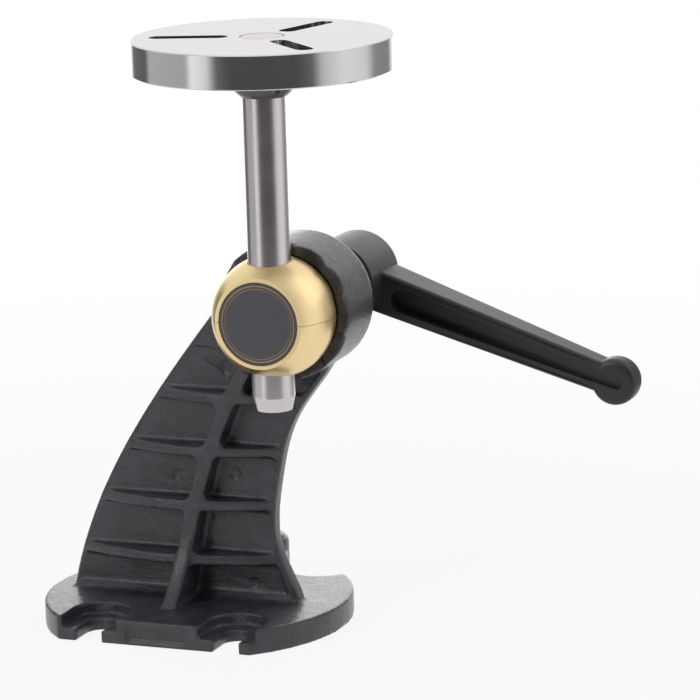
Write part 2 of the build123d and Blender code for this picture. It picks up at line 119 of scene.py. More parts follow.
# %% [markdown]
# ## Nodes and colours
# Materials here are small node trees. One helper adds a node, sets its
# values and links what feeds it, and one turns the sRGB colour that a
# person picks into the linear one that light is added up in.

# %% Small helpers


def linear(code):
    """An sRGB hex colour as linear red, green, blue and alpha: ((c + 0.055) / 1.055) ** 2.4."""
    parts = [int(code[i : i + 2], 16) / 255 for i in (1, 3, 5)]
    curve = [c / 12.92 if c <= 0.04045 else ((c + 0.055) / 1.055) ** 2.4 for c in parts]
    return (*curve, 1)


def add(tree, kind, inputs=(), **settings):
    """Adds one node. An input is a value, or the socket that feeds it."""
    made = tree.nodes.new("ShaderNode" + kind)
    for key, value in settings.items():
        setattr(made, key, value)
    for key, value in dict(inputs).items():
        if isinstance(value, bpy.types.NodeSocket):
            tree.links.new(value, made.inputs[key])
        else:
            made.inputs[key].default_value = value
    return made


def new_material(name):
    """An empty material with its output: returns material, tree and output."""
    material = bpy.data.materials.new(name)
    material.use_nodes = True
    material.node_tree.nodes.clear()
    return material, material.node_tree, add(material.node_tree, "OutputMaterial")


def new_object(name, data):
    """An object at the origin that shows a mesh or a light."""
    made = bpy.data.objects.new(name, data)
    bpy.context.scene.collection.objects.link(made)
    return made


def dress(mesh, *materials):
    """Gives a mesh its finish, or one finish for each kind of face."""
    mesh.materials.clear()
    for material in materials:
        mesh.materials.append(material)


print("a middle grey, #808080, is", round(linear("#808080")[0], 3), "in linear light")

# %% [markdown]
# ## A white room
# A product like this is shown on white. The floor and the room are white to
# the camera, to reflections and through glass, by the light path, while the
# light they give stays at the level where a colour renders as it is written.
# The floor keeps a part of its own shading near the vise, so that the vise
# still has a shadow to stand on.

# %% White room
ROOM_LEVEL = 0.14  # what the room adds to the lamps


def seen_white(tree):
    """1 for rays from the camera, a mirror or glass, and 0 for those that carry light."""
    ray = add(tree, "LightPath")
    seen = ray.outputs["Is Camera Ray"]
    for kind in ("Is Glossy Ray", "Is Transmission Ray"):
        seen = add(tree, "Math", {0: seen, 1: ray.outputs[kind]}, operation="MAXIMUM").outputs[0]
    return seen


world = bpy.data.worlds.new("white room")
bpy.context.scene.world = world
world.use_nodes = True
tree = world.node_tree
tree.nodes.clear()
level = add(tree, "Mix", {0: seen_white(tree), 2: ROOM_LEVEL, 3: 1.0}, data_type="FLOAT")
room = add(tree, "Background", {"Color": (1, 1, 1, 1), "Strength": level.outputs[0]})
add(tree, "OutputWorld", {"Surface": room.outputs[0]})
print("room lights at", ROOM_LEVEL, "and is seen at 1")

# %% Floor
FLOOR_HALF = 3.0  # metres
FLOOR_DROP = 0.2 * MM  # the floor and the base's underside never share a plane
FLOOR_GREY = (0.6, 0.6, 0.6, 1)
SHADOW_SHARE = 0.11  # of the floor's own shading
SHADOW_KEPT_TO = 0.25  # metres from the middle
SHADOW_GONE_AT = 0.8

corners = [(x * FLOOR_HALF, y * FLOOR_HALF, 0) for x, y in ((-1, -1), (1, -1), (1, 1), (-1, 1))]
floor_mesh = bpy.data.meshes.new("floor")
floor_mesh.from_pydata(corners, [], [(0, 1, 2, 3)])
floor = new_object("floor", floor_mesh)
floor.location.z = -FLOOR_DROP

material, tree, output = new_material("white floor")
matt = add(tree, "BsdfDiffuse", {"Color": FLOOR_GREY})
white = add(tree, "Emission", {"Color": (1, 1, 1, 1), "Strength": 1.0})
place = add(tree, "TexCoord")
far = add(tree, "VectorMath", {0: place.outputs["Object"]}, operation="LENGTH")
fade = {"From Min": SHADOW_KEPT_TO, "From Max": SHADOW_GONE_AT, "To Min": 1 - SHADOW_SHARE}
plain = add(tree, "MapRange", {"Value": far.outputs["Value"], **fade})
share = add(tree, "Math", {0: seen_white(tree), 1: plain.outputs[0]}, operation="MULTIPLY")
mixed = add(tree, "MixShader", {0: share.outputs[0], 1: matt.outputs[0], 2: white.outputs[0]})
tree.links.new(mixed.outputs[0], output.inputs["Surface"])
dress(floor_mesh, material)
print("floor", 2 * FLOOR_HALF, "m wide")

# %% [markdown]
# ## Cards round the vise
# Polished metal has no colour of its own: it shows the studio. On white all
# round, a steel rod looks like white paper, so photographers stand dark and
# light cards about it. Here they are one ring round the post that only
# reflections see, and its tone follows the angle. It is dark towards the
# viewer, with a narrow light card to the left of that and a broad one to
# the right, and bright behind. Higher up a second row of tones takes over,
# which is what the plate's top shows.

# %% Ring of cards
CARD_RADIUS = 0.42
CARD_HEIGHT = 0.9
CARD_FACES_ROUND = 96
CARD_FACES_UP = 6


def closed_grid(rows, around):
    """Faces between closed rows of points: (i, j), (i, j + 1), (i + 1, j + 1), (i + 1, j)."""
    row, column = np.divmod(np.arange(around * rows), around)
    beside = (column + 1) % around
    low, high = row * around, (row + 1) * around
    return np.stack([low + column, low + beside, high + beside, high + column], axis=-1)


def ring_points(radius, height, around, upward):
    """A standing ring: point (u, v) = (radius sin u, -radius cos u, height v)."""
    u = np.linspace(0, 2 * np.pi, around, endpoint=False)
    v = np.linspace(0, 1, upward + 1)
    u, v = np.meshgrid(u, v)
    return np.stack([radius * np.sin(u), -radius * np.cos(u), height * v], axis=-1).reshape(-1, 3)


points = ring_points(CARD_RADIUS, CARD_HEIGHT, CARD_FACES_ROUND, CARD_FACES_UP)
faces = closed_grid(CARD_FACES_UP, CARD_FACES_ROUND)
cards_mesh = bpy.data.meshes.new("cards")
cards_mesh.from_pydata(points.tolist(), [], faces.tolist())
cards = new_object("cards", cards_mesh)
cards.location = (plate_axis.x, plate_axis.y, 0)
for rays in ("camera", "diffuse", "transmission", "volume_scatter", "shadow"):
    setattr(cards, "visible_" + rays, False)
print("cards:", len(faces), "faces, radius", CARD_RADIUS, "m")

# %% Tones of the cards
# Angle in degrees from the front towards the lever's side, and the tone there
LOW_CARDS = [
    (-180, 2.3), (-142, 2.3), (-122, 0.2), (-92, 0.14), (-88, 0.6), (-43, 0.52), (-38, 1.25),
    (-24, 0.95), (-16, 0.17), (-4, 0.09), (50, 0.09), (64, 0.16), (72, 0.68), (92, 1.0),
    (118, 0.9), (130, 0.35), (158, 0.3), (172, 1.4), (180, 2.3),
]
HIGH_CARDS = [
    (-180, 1.0), (-130, 1.0), (-90, 0.9), (-20, 0.4), (50, 0.4),
    (95, 1.0), (105, 1.4), (130, 1.3), (150, 1.0), (180, 1.0),
]
HIGH_FROM, HIGH_AT = 0.24, 0.29  # metres above the floor
SWEEP_TONE = 0.85  # the white paper rises a little before the cards begin
SWEEP_TOP = 0.015  # metres
BRIGHTEST = 2.5


def grey(tone):
    """A tone as a colour, as a share of the brightest."""
    return (tone / BRIGHTEST,) * 3 + (1,)


def angle_ramp(tree, turn, cards):
    """A colour ramp whose stops are the cards' angles, from -180 to 180 degrees."""
    ramp = add(tree, "ValToRGB", {"Fac": turn})
    stops = ramp.color_ramp.elements
    while len(stops) < len(cards):
        stops.new(0.5)
    for stop, (angle, tone) in zip(stops, cards):
        stop.position = (angle + 180) / 360
        stop.color = grey(tone)
    return ramp.outputs["Color"]


material, tree, output = new_material("cards")
place = add(tree, "TexCoord")
axes = add(tree, "SeparateXYZ", {0: place.outputs["Object"]})
ahead = add(tree, "Math", {0: axes.outputs["Y"], 1: -1.0}, operation="MULTIPLY")
turn = add(tree, "Math", {0: axes.outputs["X"], 1: ahead.outputs[0]}, operation="ARCTAN2")
turn = add(tree, "MapRange", {"Value": turn.outputs[0], "From Min": -math.pi, "From Max": math.pi})
low = angle_ramp(tree, turn.outputs[0], LOW_CARDS)
high = angle_ramp(tree, turn.outputs[0], HIGH_CARDS)
rise = {"From Min": HIGH_FROM, "From Max": HIGH_AT}
rise = add(tree, "MapRange", {"Value": axes.outputs["Z"], **rise})
tone = add(tree, "Mix", {0: rise.outputs[0], 6: low, 7: high}, data_type="RGBA")
foot = add(tree, "MapRange", {"Value": axes.outputs["Z"], "From Max": SWEEP_TOP})
sweep = {0: foot.outputs[0], 6: grey(SWEEP_TONE), 7: tone.outputs[2]}
tone = add(tree, "Mix", sweep, data_type="RGBA")
glow = add(tree, "Emission", {"Color": tone.outputs[2], "Strength": BRIGHTEST})
tree.links.new(glow.outputs[0], output.inputs["Surface"])
dress(cards_mesh, material)
print("tones from", min(t for _, t in LOW_CARDS), "to", max(t for _, t in LOW_CARDS))

# %% [markdown]
# ## Lamps
# Black paint shows its shape only by what shines on it. A broad lamp
# overhead lights whatever faces up, a smaller one in front on the left draws
# the ribs, one on the right lights the round side of the cup, and one behind
# rims the edges. The overhead lamp stays out of reflections, or polished
# steel that faces up would burn out to white.

# %% Lamps
HEART = Vector((0.03, 0, 0.13))  # every lamp is turned to this point
LAMPS = [  # name, place and size in metres, watts
    ("top", (0.0, 0.1, 1.5), (2.4, 2.4), 13),
    ("key", (-0.75, -1.3, 0.85), (0.7, 0.7), 13),
    ("right", (1.3, 0.1, 0.6), (0.9, 1.2), 8),
    ("behind", (-0.3, 1.2, 1.4), (1.6, 1.0), 10),
]

for name, place, size, watts in LAMPS:
    light = bpy.data.lights.new(name, "AREA")
    light.shape = "RECTANGLE"
    light.size, light.size_y = size
    light.energy = watts
    lamp = new_object(name, light)
    lamp.location = place
    lamp.rotation_mode = "QUATERNION"
    lamp.rotation_quaternion = (HEART - Vector(place)).to_track_quat("-Z", "Y")
    lamp.visible_glossy = name != "top"
    print("lamp", name, watts, "W")

# %% [markdown]
# ## Copies that can be reshaped
# A loaded piece is made of loose triangles and must stay as it is, so what
# is reshaped below is a copy. Its triangles are joined at their corners, and
# the edges that really turn are kept sharp, while the others shade smoothly.

# %% Copies of pieces
CREASE = math.radians(30)
SAME_POINT = 0.002 * MM  # points nearer than this are one


def sharpen(mesh):
    """Joins points that coincide, and keeps sharp the edges that turn by more than CREASE."""
    work = bmesh.new()
    work.from_mesh(mesh)
    bmesh.ops.remove_doubles(work, verts=work.verts, dist=SAME_POINT)
    for edge in work.edges:
        edge.smooth = edge.calc_face_angle(0.0) < CREASE
    work.to_mesh(mesh)
    work.free()
    mesh.polygons.foreach_set("use_smooth", np.ones(len(mesh.polygons), dtype=bool))
    mesh.update()


def merged_copy(name):
    """A copy of a node's mesh whose loose triangles are joined at their corners."""
    mesh = nodes[name].data.copy()
    sharpen(mesh)
    return new_object(name + "_finished", mesh)


casting = merged_copy("vise_body")
print("casting as loaded:", len(casting.data.polygons), "faces")

# %% [markdown]
# ## The casting's soft edges
# The body is iron poured in sand, and no edge of it is sharp: the mould's
# corners crumble and the coating fills what is left. Rounding every edge of
# so branched a shape one by one would be fragile. A grid of small cubes
# laid through the solid gives an even skin instead, and letting every point
# drift towards its neighbours rounds edges and corners alike.

# %% Soften the casting
SKIN_GRID = 0.75 * MM
DRIFTS = 9
DRIFT_SHARE = 0.5  # of the way to the middle of the neighbours


def settle(piece):
    """Keeps the mesh that a piece's modifiers give, and drops the modifiers."""
    graph = bpy.context.evaluated_depsgraph_get()
    mesh = bpy.data.meshes.new_from_object(piece.evaluated_get(graph))
    piece.modifiers.clear()
    piece.data = mesh
    mesh.polygons.foreach_set("use_smooth", np.ones(len(mesh.polygons), dtype=bool))
    return mesh


grid = casting.modifiers.new("grid", "REMESH")
grid.mode = "VOXEL"
grid.voxel_size = SKIN_GRID
drift = casting.modifiers.new("drift", "SMOOTH")
drift.factor = DRIFT_SHARE
drift.iterations = DRIFTS
skin = settle(casting)
print("skin:", len(skin.polygons), "faces")

# %% [markdown]
# ## Marks of the mould
# Round pins push the casting's pattern out of the sand and leave shallow
# discs in the bays, and the pattern has a shallow field sunk in the base's
# front edge. Drawing each outline into the skin would need new edges there.
# It is fine enough to be pressed in instead: its points move back a little
# over half a millimetre, and less across a smooth step at the outline.

# %% Press the marks in
PIN_RADIUS = 2.6 * MM
PIN_DEPTH = 0.6 * MM
PIN_SOFT = 0.2 * MM
PIN_MARKS = np.array([(-7.1, 67.4), (21.6, 69.3), (28.7, 18.8), (18.5, 118.1)]) * MM
PANEL_LOW = np.array([-13.8, 2.3]) * MM
PANEL_HIGH = np.array([15.5, 9.0]) * MM
PANEL_DEPTH = 0.7 * MM
PANEL_SOFT = 0.4 * MM
FACES_FRONT = -0.9  # a face looks to the front where its normal's y is below this
BAYS_FROM_Y = -40 * MM  # only the base reaches farther to the front
BASE_EDGE_TO_Y = -50 * MM


def rows_of(mesh, what):
    """The place ("co") or normal ("normal") of each point, as rows of x, y and z."""
    values = np.empty(len(mesh.vertices) * 3)
    mesh.vertices.foreach_get(what, values)
    return values.reshape(-1, 3)


def smooth_step(value, low, high):
    """3 t^2 - 2 t^3 with t the share of the way from low to high."""
    t = np.clip((value - low) / (high - low), 0, 1)
    return t * t * (3 - 2 * t)


points = rows_of(skin, "co")
to_front = rows_of(skin, "normal")[:, 1] < FACES_FRONT
across = points[:, [0, 2]]
away = np.linalg.norm(across[:, None] - PIN_MARKS[None], axis=2).min(axis=1)
in_bay = to_front & (points[:, 1] > BAYS_FROM_Y)
pressed = 1 - smooth_step(away, PIN_RADIUS - PIN_SOFT, PIN_RADIUS + PIN_SOFT)
sunk = in_bay * PIN_DEPTH * pressed
inside = np.minimum(across - PANEL_LOW, PANEL_HIGH - across).min(axis=1)
at_edge = to_front & (points[:, 1] < BASE_EDGE_TO_Y)
sunk += at_edge * PANEL_DEPTH * smooth_step(inside, -PANEL_SOFT / 2, PANEL_SOFT / 2)
points[:, 1] += sunk
print("points pressed in:", int((sunk > 0).sum()))

# %% [markdown]
# ## The ear's rounded rim
# At the back the base has an ear with a raised boss for a bolt. Its rim is
# much rounder than the casting's other edges, and more drifting would melt
# those away, so its points are led onto a quarter circle by a formula. The
# skin has more points than its flat faces need, so it is thinned last.

# %% Round the ear's boss
EAR_PLACE = np.array([0.0, 78.0]) * MM
EAR_RADIUS = 11.5 * MM
EAR_TOP = 19.0 * MM
EAR_ROUND = 4.5 * MM
LEAST = 0.01 * MM  # no division by less than this


def put_back(mesh, points):
    """Moves a mesh's points to these places."""
    mesh.vertices.foreach_set("co", points.reshape(-1))
    mesh.update()


def round_rim(points, place, radius, top, rounding):
    """Rounds the rim of an upright boss and returns how many points it moved.

    A point near the rim lies a outwards and b upwards from the rounding's middle. Times
    max(a, b) / sqrt(a^2 + b^2), the square corner becomes a quarter of a circle.
    """
    out = points[:, :2] - place
    reach = np.linalg.norm(out, axis=1)
    centre = np.array([radius - rounding, top - rounding])
    corner = np.stack([reach, points[:, 2]], axis=-1) - centre
    on_rim = (corner > 0).all(axis=1) & (reach < radius + MM)
    length = np.maximum(np.linalg.norm(corner, axis=1), LEAST)
    rounded = corner * (corner.max(axis=1) / length)[:, None] + centre
    points[on_rim, :2] = (place + out * (rounded[:, 0] / np.maximum(reach, LEAST))[:, None])[on_rim]
    points[on_rim, 2] = rounded[on_rim, 1]
    return int(on_rim.sum())


moved = round_rim(points, EAR_PLACE, EAR_RADIUS, EAR_TOP, EAR_ROUND)
put_back(skin, points)
print("rim:", moved, "points moved")

# %% Thin the skin
KEPT_SHARE = 0.42  # of the faces

thin = casting.modifiers.new("thin", "DECIMATE")
thin.ratio = KEPT_SHARE
skin = settle(casting)
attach(casting, "stand")
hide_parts("vise_body")
print("faces kept:", len(skin.polygons))

# %% [markdown]
# ## Powder-coated cast iron
# Sand leaves the iron grainy, and a black powder coat melts over it without
# hiding the grain. The eye gets a dark satin with a fine broken sparkle, and
# a clearer shine at a flat angle from the coat. Three noises make the
# relief: the sand's grain, the slow flow of the coat, and level lines from
# the cutter that made the pattern.

# %% Powder-coated cast iron
SAND_GRAIN = 0.9 * MM  # real sand is near 0.3 mm; coarser here, so it shows
COAT_FLOW = 7.0 * MM  # a powder coat's waves are 5 to 10 mm wide
CUTTER_LINES = 0.9 * MM  # the step between two passes of the cutter
CUTTER_STRETCH = 0.16  # the lines change this much slower along than across

material, tree, output = new_material("powder-coated cast iron")
place = add(tree, "TexCoord").outputs["Object"]
grains = {"Scale": 1 / SAND_GRAIN, "Detail": 4.0, "Roughness": 0.65}
sand = add(tree, "TexNoise", {"Vector": place, **grains})
flow = add(tree, "TexNoise", {"Vector": place, "Scale": 1 / COAT_FLOW, "Detail": 3.0})
tone = add(tree, "ValToRGB", {"Fac": flow.outputs["Fac"]})
for stop, position, code in zip(tone.color_ramp.elements, (0.35, 0.65), ("#1c1820", "#2d2833")):
    stop.position = position
    stop.color = linear(code)
gloss = {"From Min": 0.35, "From Max": 0.65, "To Min": 0.3, "To Max": 0.48}
gloss = add(tree, "MapRange", {"Value": sand.outputs["Fac"], **gloss})
stretch = (CUTTER_STRETCH, CUTTER_STRETCH, 1.0)
passes = add(tree, "Mapping", {"Vector": place, "Scale": stretch}).outputs[0]
lines = add(tree, "TexNoise", {"Vector": passes, "Scale": 1 / CUTTER_LINES, "Detail": 1.0})
layers = []  # each noise, its strength and its depth in mm rides on the layer before
for noise, strength, depth in ((lines, 0.35, 0.3), (flow, 0.5, 0.7), (sand, 1.0, 0.7)):
    inputs = {"Height": noise.outputs["Fac"], "Strength": strength, "Distance": depth * MM}
    if layers:
        inputs["Normal"] = layers[-1]
    layers.append(add(tree, "Bump", inputs).outputs["Normal"])
shader = add(
    tree,
    "BsdfPrincipled",
    {
        "Base Color": tone.outputs["Color"],
        "Roughness": gloss.outputs["Result"],
        "Normal": layers[2],
        "Coat Weight": 0.5,
        "Coat Roughness": 0.18,
        "Coat Normal": layers[1],  # the coat fills the sand's grain and shows the rest
    },
)
tree.links.new(shader.outputs[0], output.inputs["Surface"])
dress(skin, material)
print("grain", SAND_GRAIN / MM, "mm, flow", COAT_FLOW / MM, "mm")

# %% [markdown]
# ## Die-cast lever
# The lever is cast in a steel mould, so it comes out smoother than the
# body, and the same black goes on as a thinner coat. It keeps only a faint
# orange peel. The hub's front part is painted near black: painted shade,
# where the cup's edge shades the hub.

# %% Satin black die casting
PEEL = 1.4 * MM  # the peel's bumps, drawn about twice their real width
NECK_END = 46.5 * MM  # y where the hub's slimmer front part and the painted shade on it end
NECK_SOFT = 0.2 * MM

material, tree, output = new_material("satin black die casting")
place = add(tree, "TexCoord").outputs["Object"]
bumps = {"Scale": 1 / PEEL, "Detail": 3.0, "Roughness": 0.55}
peel = add(tree, "TexNoise", {"Vector": place, **bumps}).outputs["Fac"]
gloss = add(tree, "MapRange", {"Value": peel, "To Min": 0.36, "To Max": 0.44})
bump = add(tree, "Bump", {"Height": peel, "Strength": 0.25, "Distance": 0.15 * MM})
axes = add(tree, "SeparateXYZ", {0: place})
beyond_painted_shade = {"From Min": NECK_END - NECK_SOFT, "From Max": NECK_END + NECK_SOFT}
beyond_painted_shade = add(tree, "MapRange", {"Value": axes.outputs["Y"], **beyond_painted_shade}).outputs[0]
# painted shade: the hub's front part is near black, where the cup shades it
tones = {0: beyond_painted_shade, 6: linear("#080808"), 7: linear("#241f26")}
tone = add(tree, "Mix", tones, data_type="RGBA").outputs[2]
surface = {"Base Color": tone, "Roughness": gloss.outputs[0], "Normal": bump.outputs[0]}
shader = add(tree, "BsdfPrincipled", surface)
tree.links.new(shader.outputs[0], output.inputs["Surface"])
black_casting = material
print("peel", PEEL / MM, "mm")

# %% [markdown]
# ## The lever's neck and knob
# The hub gets slimmer in front, and the knob is hardly thicker than the arm,
# so its domes are nearly flush with the arm's faces. In a copy of the lever
# two loops are cut where the neck steps, its points are drawn in, and the
# domes are pressed flat by a soft limit that keeps them round.

# %% Slimmer neck
HUB_SKIN = 16.5 * MM  # the hub's outer skin is farther from the axis than this
NECK_STEP = 0.6 * MM
NECK_DEPTH = 0.9 * MM

lever = merged_copy("lever_handle")
work = bmesh.new()
work.from_mesh(lever.data)
for level in (NECK_END - NECK_STEP, NECK_END):
    everything = work.verts[:] + work.edges[:] + work.faces[:]
    bmesh.ops.bisect_plane(work, geom=everything, plane_co=(0, level, 0), plane_no=(0, 1, 0))
work.to_mesh(lever.data)
work.free()

points = rows_of(lever.data, "co")
hub_xz = np.array([hub_axis.x, hub_axis.z])
out = points[:, [0, 2]] - hub_xz
reach = np.linalg.norm(out, axis=1)
neck = (points[:, 1] < NECK_END - NECK_STEP / 2) & (reach > HUB_SKIN)
slimmer = out * (1 - NECK_DEPTH / np.maximum(reach, HUB_SKIN))[:, None]
points[np.ix_(neck, [0, 2])] = slimmer[neck] + hub_xz
print("neck:", int(neck.sum()), "points drawn in")

# %% Flatter knob
LEVER_ANGLE = math.radians(18.6)
LEVER_MIDDLE_Y = 68.5 * MM  # the plane that halves the arm
ARM_LENGTH = 134.0 * MM
KNOB_RADIUS = 10.8 * MM
END_WIDTH = 11.8 * MM
DOME_START = 4.5 * MM  # from the arm's middle, where the pressing begins
DOME_SOFT = 1.8 * MM
HAIR = 0.1 * MM  # what is nearer than this counts as the same place


def lever_point(along, side, y):
    """Along the arm, square to it and across: from the hub's axis, turned down by LEVER_ANGLE."""
    x = hub_axis.x + along * math.cos(LEVER_ANGLE) + side * math.sin(LEVER_ANGLE)
    z = hub_axis.z - along * math.sin(LEVER_ANGLE) + side * math.cos(LEVER_ANGLE)
    return np.stack([x, y + 0 * x, z], axis=-1)


def dome_limit(depth):
    """Soft limit: DOME_START + room tanh((depth - DOME_START) / DOME_SOFT) beyond DOME_START."""
    room = END_WIDTH / 2 - DOME_START
    pressed = DOME_START + room * np.tanh((depth - DOME_START) / DOME_SOFT)
    return np.where(depth < DOME_START, depth, pressed)


knob_centre = lever_point(np.array(ARM_LENGTH), np.array(0.0), LEVER_MIDDLE_Y)
in_knob = np.linalg.norm((points - knob_centre)[:, [0, 2]], axis=1) < KNOB_RADIUS + HAIR
depth = points[:, 1] - LEVER_MIDDLE_Y
flatter = LEVER_MIDDLE_Y + np.sign(depth) * dome_limit(np.abs(depth))
points[in_knob, 1] = flatter[in_knob]
put_back(lever.data, points)
print("knob:", int(in_knob.sum()), "points pressed flat")

# %% [markdown]
# ## The lever's channels
# The arm's two long channels run on into the knob and end there in a half
# circle. A cutter is their outline carried sideways from the web outwards,
# and taking it out of the lever with an exact boolean leaves clean walls.

# %% Outline of a channel
CHANNEL_START = 115.0 * MM
CHANNEL_BEND = 121.0 * MM
CHANNEL_END = 136.0 * MM
CHANNEL_HALF = 3.17 * MM
CHANNEL_END_HALF = 2.4 * MM
CHANNEL_TAPER = 0.0243  # what its half width loses along the arm, as a share of the length
ROUND_END_POINTS = 13

turn = np.linspace(-np.pi / 2, np.pi / 2, ROUND_END_POINTS)
arc = np.stack([np.cos(turn), np.sin(turn)], axis=-1)
round_end = arc * CHANNEL_END_HALF + np.array([CHANNEL_END, 0.0])
start_half = CHANNEL_HALF + (CHANNEL_BEND - CHANNEL_START) * CHANNEL_TAPER
lower = [(CHANNEL_START, -start_half), (CHANNEL_BEND, -CHANNEL_HALF)]
upper = [(CHANNEL_BEND, CHANNEL_HALF), (CHANNEL_START, start_half)]
channel = np.concatenate([lower, round_end, upper])
print("channel ends", round(CHANNEL_END / MM, 1), "mm from the hub's axis")

# %% Channels through the knob
WEB_WIDTH = 5.6 * MM
CUT_REACH = 14 * MM  # from the arm's middle, so past the knob's sides


def prism(name, outline, near, far):
    """A closed outline carried from the depths near to the depths far, with flat ends."""
    count = len(outline)
    along, side = outline[:, 0], outline[:, 1]
    points = np.concatenate([lever_point(along, side, near), lever_point(along, side, far)])
    index = np.arange(count)
    after = (index + 1) % count
    sides = np.stack([index, after, after + count, index + count], axis=-1).tolist()
    ends = [index[::-1].tolist(), (index + count).tolist()]
    mesh = bpy.data.meshes.new(name)
    mesh.from_pydata(points.tolist(), [], sides + ends)
    work = bmesh.new()
    work.from_mesh(mesh)
    bmesh.ops.recalc_face_normals(work, faces=work.faces)
    work.to_mesh(mesh)
    work.free()
    return new_object(name, mesh)


cutters = []
for side in (-1, 1):
    web = LEVER_MIDDLE_Y + side * WEB_WIDTH / 2
    cutters.append(prism("channel", channel, web, LEVER_MIDDLE_Y + side * CUT_REACH))
for cutter in cutters:
    step = lever.modifiers.new(cutter.name, "BOOLEAN")
    step.operation = "DIFFERENCE"
    step.solver = "EXACT"
    step.object = cutter
grip = settle(lever)
sharpen(grip)
for cutter in cutters:
    bpy.data.objects.remove(cutter)
dress(grip, black_casting)
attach(lever, "lever")
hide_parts("lever_handle")
print("lever:", len(grip.polygons), "faces")

# %% [markdown]
# ## Steel and brass
# Turned metal carries the tool's fine rings about its axis, which smear
# reflections across them. On the plate's face the rings run round the post,
# and on its rim they lie one above the other. A stretched noise draws both:
# it changes fast along the radius and along the axis, and hardly round it.
# Steel is a grey mirror, so its colour is pale and the cards do the rest.

# %% Turning marks
TOOL_FEED = 0.45 * MM  # a real cut is near 0.1 mm a turn; wider, so it shows
WORN_PATCH = 14 * MM  # patches that are a little more or less polished
WORN_BY = 0.05  # roughness more or less
FIT_SHADE_LEFT = 0.12  # painted shade: what is left of the brightness in the fit round the post

UP = (0.0, 0.0, 1.0)
BACK = (0.0, 1.0, 0.0)


def turned(name, axis_point, axis, code, roughness, depth, joint=0.0):
    """A metal with turning marks: noise on (distance from the axis, place along it).

    Nearer to the axis than joint it is dark: painted shade in the fit there.
    """
    material, tree, output = new_material(name)
    place = add(tree, "TexCoord").outputs["Object"]
    start = tuple(axis_point)
    out = add(tree, "VectorMath", {0: place, 1: start}, operation="SUBTRACT").outputs[0]
    along = add(tree, "VectorMath", {0: out, 1: axis}, operation="DOT_PRODUCT").outputs["Value"]
    foot = add(tree, "VectorMath", {0: axis, "Scale": along}, operation="SCALE").outputs[0]
    reach = add(tree, "VectorMath", {0: out, 1: foot}, operation="DISTANCE").outputs["Value"]
    cut = add(tree, "CombineXYZ", {"X": reach, "Y": along}).outputs[0]
    marks = add(tree, "TexNoise", {"Vector": cut, "Scale": 1 / TOOL_FEED, "Detail": 2.0})
    cloud = add(tree, "TexNoise", {"Vector": place, "Scale": 1 / WORN_PATCH, "Detail": 3.0})
    worn = {"To Min": roughness - WORN_BY, "To Max": roughness + WORN_BY}
    worn = add(tree, "MapRange", {"Value": cloud.outputs["Fac"], **worn})
    bump = {"Height": marks.outputs["Fac"], "Strength": 0.35, "Distance": depth}
    bump = add(tree, "Bump", bump)
    tint = {"From Min": 0.3, "From Max": 0.7, "To Min": 0.93}
    tint = add(tree, "MapRange", {"Value": marks.outputs["Fac"], **tint}).outputs[0]
    # painted shade in the fit: darker nearer the axis than joint
    fit_painted_shade = {"From Min": joint - HAIR, "From Max": joint, "To Min": FIT_SHADE_LEFT}
    fit_painted_shade = add(tree, "MapRange", {"Value": reach, **fit_painted_shade}).outputs[0]
    tint = add(tree, "Math", {0: tint, 1: fit_painted_shade}, operation="MULTIPLY").outputs[0]
    base = add(tree, "VectorMath", {0: linear(code)[:3], "Scale": tint}, operation="SCALE")
    surface = {"Base Color": base.outputs[0], "Metallic": 1.0}
    surface |= {"Roughness": worn.outputs[0], "Normal": bump.outputs["Normal"]}
    shader = add(tree, "BsdfPrincipled", surface)
    tree.links.new(shader.outputs[0], output.inputs["Surface"])
    print(name, "roughness", roughness)
    return material


print("marks every", round(TOOL_FEED / MM, 2), "mm")

# %% Steels
POST_FIT = 10.0 * MM  # the plate's bore lies inside this radius

# Turned: bright, with sharp bands of light and dark, and painted shade in the fit round the post
turned_steel = turned("turned steel", plate_axis, UP, "#d4d1d1", 0.13, 0.012 * MM, POST_FIT)
# Rough-turned: dull, because nobody finishes a boss, and dark grey: painted shade under the plate
rough_boss_steel_painted_shade = turned("rough-turned steel with painted shade", plate_axis, UP, "#5e5a5b", 0.34, 0.02 * MM)
# Ground: an even soft sheen along the post
ground_steel = turned("ground steel", plate_axis, UP, "#cfc8c9", 0.26, 0.008 * MM)
dress(nodes["work_post"].data, ground_steel)
# Plain: the fittings that a shop buys, a little grey
plain_steel = turned("plain steel", hub_axis, BACK, "#a9a7a5", 0.35, 0.01 * MM)
for name in ("drawbar", "thrust_washer", "ball_dowels", "lever_nut", "lever_spring", "lever_screw"):
    dress(nodes[name].data, plain_steel)

# %% [markdown]
# ## The faceplate's edges and its boss
# The plate's two edges are only just broken, with a file rather than a tool.
# Below it the boss flares from the post to the plate in two soft cones, and
# it is left as rough as it was turned, so it is dull, and its colour is
# darker: painted shade under the plate. Both shapes are a copy of the plate
# whose rings of points are moved in and out.

# %% Flare the boss
PLATE_THICK = 15 * MM
PLATE_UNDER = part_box("faceplate")[1][2] - PLATE_THICK
BOSS_RINGS = np.array([(0, 16.2), (-8, 13.4), (-11, 10.3)]) * MM  # height from the plate, radius
BOSS_WITHIN = (10.5 * MM, 17 * MM)  # the boss's points lie between these radii
SHOULDER = -8 * MM  # where the two cones meet
SHOULDER_RAISED = 1.5 * MM

plate = merged_copy("faceplate")
points = rows_of(plate.data, "co")
plate_xy = np.array([plate_axis.x, plate_axis.y])
out = points[:, :2] - plate_xy
reach = np.linalg.norm(out, axis=1)
height = points[:, 2] - PLATE_UNDER
new_reach = reach.copy()
boss = (reach > BOSS_WITHIN[0]) & (reach < BOSS_WITHIN[1]) & (height < HAIR)
new_reach[boss] = np.interp(-height[boss], -BOSS_RINGS[:, 0], BOSS_RINGS[:, 1])
points[boss & (np.abs(height - SHOULDER) < 2 * HAIR), 2] += SHOULDER_RAISED
print("boss:", int(boss.sum()), "points moved")

# %% Break the edges
EDGE_BREAK = 0.8 * MM  # as the model has it
EDGE_KEPT = 0.45 * MM  # what is kept of it

